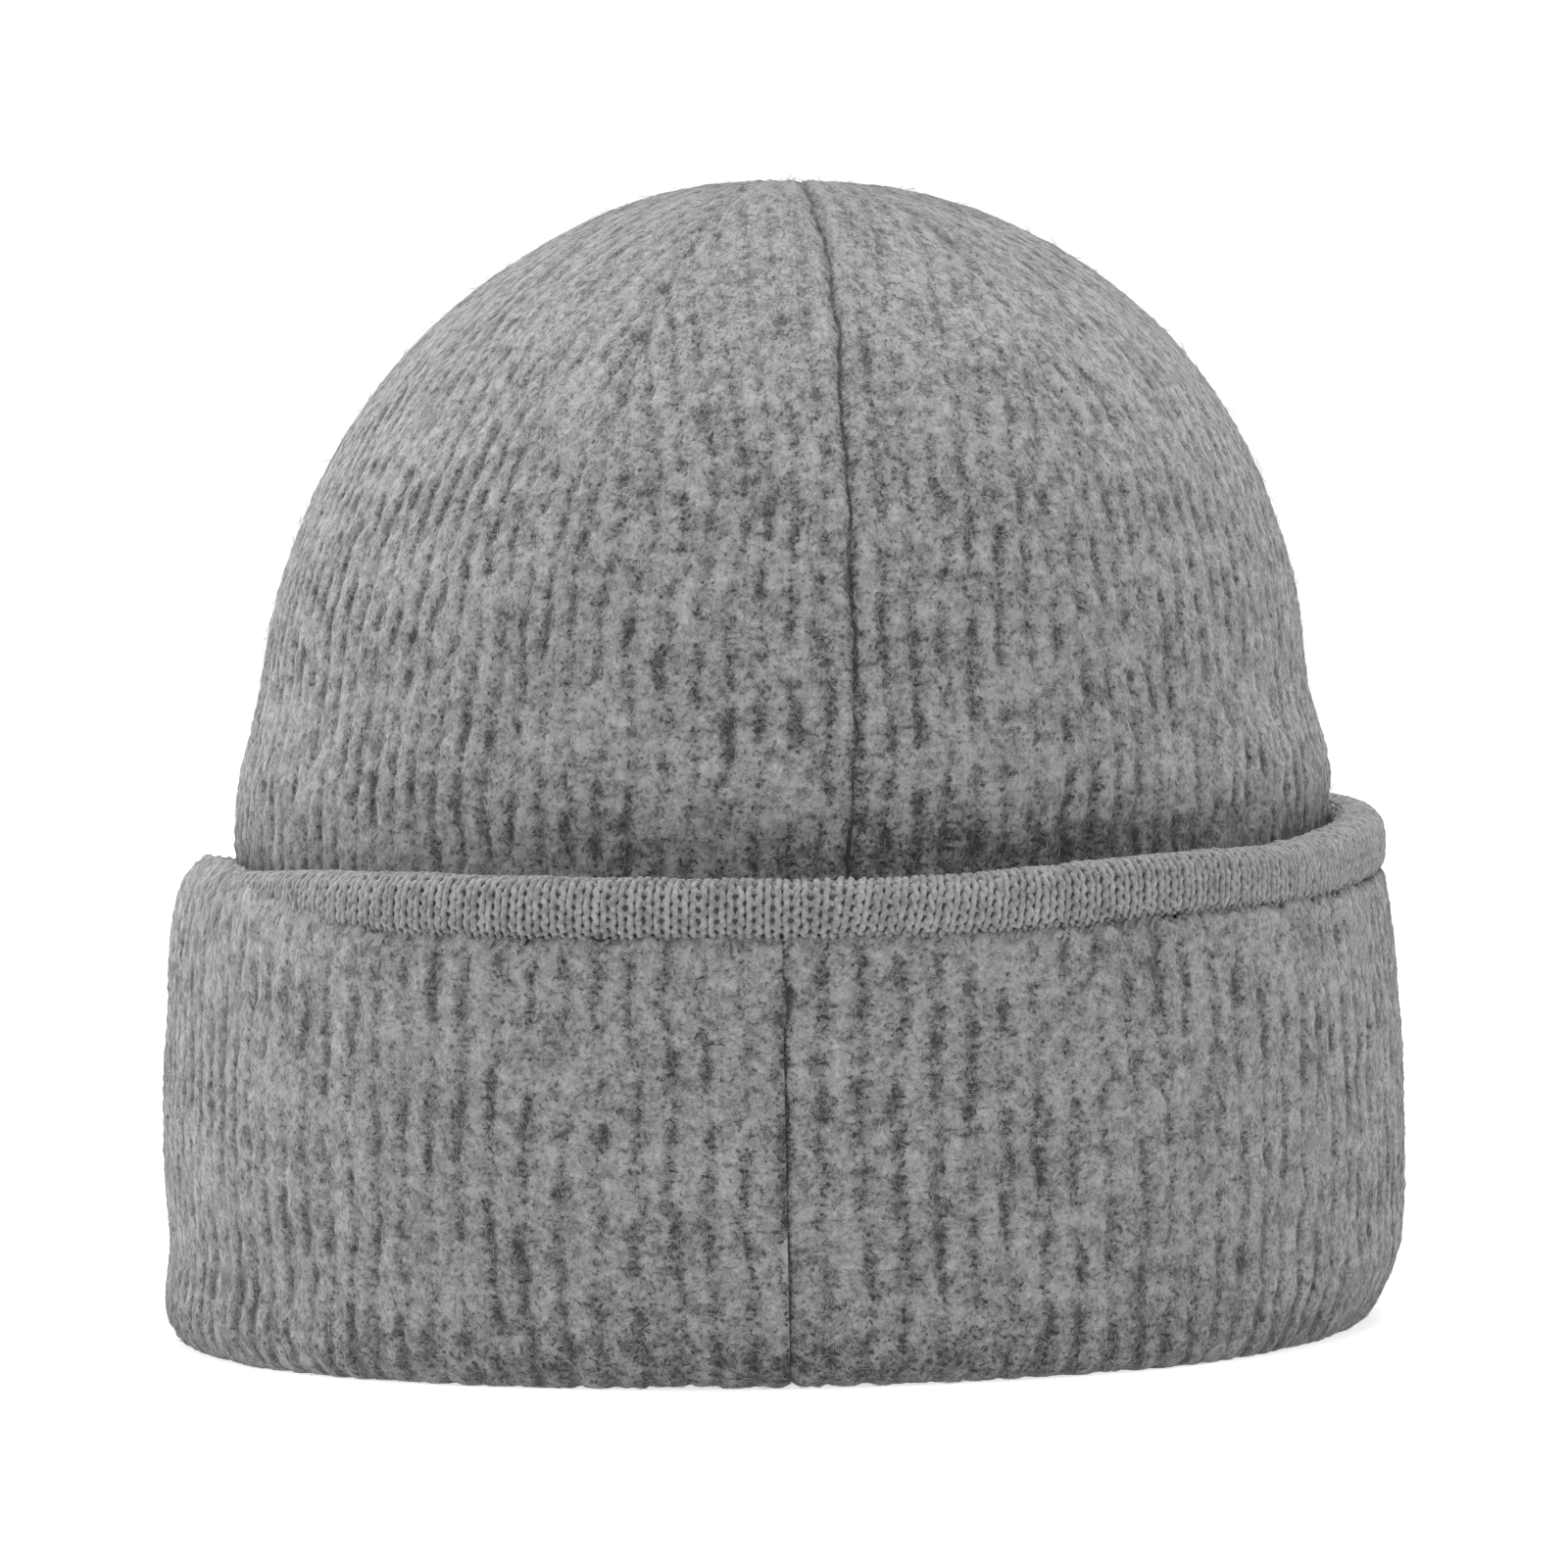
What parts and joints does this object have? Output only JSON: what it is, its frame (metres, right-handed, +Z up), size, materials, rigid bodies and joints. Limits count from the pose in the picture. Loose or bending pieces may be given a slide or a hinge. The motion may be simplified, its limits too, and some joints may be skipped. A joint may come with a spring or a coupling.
{
  "type": "knit beanie",
  "caption": "Knit hat in thick felted rib with a domed crown shaped by darts and a deep turned-up cuff that ends in a rolled jersey hem and can be turned up more or less.",
  "frame": {"origin": "under the middle of the brim, on the surface that the hat stands on", "axes": "+Z up towards the top of the crown, +Y towards the wearer's forehead, +X towards the wearer's right; the centre-back seam is on the -Y side"},
  "size_m": [0.1792, 0.2186, 0.165],
  "materials": {
    "crown_knit": "felted rib knit in mottled mid-grey melange wool, matt, with short fuzz",
    "cuff_knit": "the same felted rib knit, turned up",
    "hem_jersey": "fine-gauge jersey in light grey yarn, matt, crisp stitches",
    "seam_yarn": "dark grey linking yarn",
    "label_cloth": "blank white woven tape"
  },
  "bodies": {
    "crown": {"crown_gore_back": "crown_knit", "crown_gore_right_rear": "crown_knit", "crown_gore_right_front": "crown_knit", "crown_gore_front": "crown_knit", "crown_gore_left_front": "crown_knit", "crown_gore_left_rear": "crown_knit", "crown_wall": "crown_knit", "side_band": "crown_knit", "centre_back_seam": "seam_yarn", "dart_seam_right_rear": "seam_yarn", "dart_seam_right": "seam_yarn", "dart_seam_right_front": "seam_yarn", "dart_seam_left_front": "seam_yarn", "dart_seam_left": "seam_yarn", "dart_seam_left_rear": "seam_yarn", "crown_closure": "seam_yarn", "label_stitch": "seam_yarn", "care_label": "label_cloth"},
    "fold": {"brim_fold": "cuff_knit", "cuff_panel": "cuff_knit", "cuff_seam": "seam_yarn"},
    "hem": {"hem_trim": "hem_jersey", "hem_seam": "seam_yarn"}
  },
  "joints": [
    {"name": "fold_roll", "type": "slide", "parent": "fold", "child": "crown", "axis": [0, 0, 1], "range_m": [0, 0.042]},
    {"name": "hem_roll", "type": "slide", "parent": "fold", "child": "hem", "axis": [0, 0, -1], "range_m": [0, 0.042], "deforming": ["cuff_panel", "cuff_seam"]}
  ],
  "couplings": [
    {"joint": "hem_roll", "follows": "fold_roll", "ratio": 1}
  ]
}
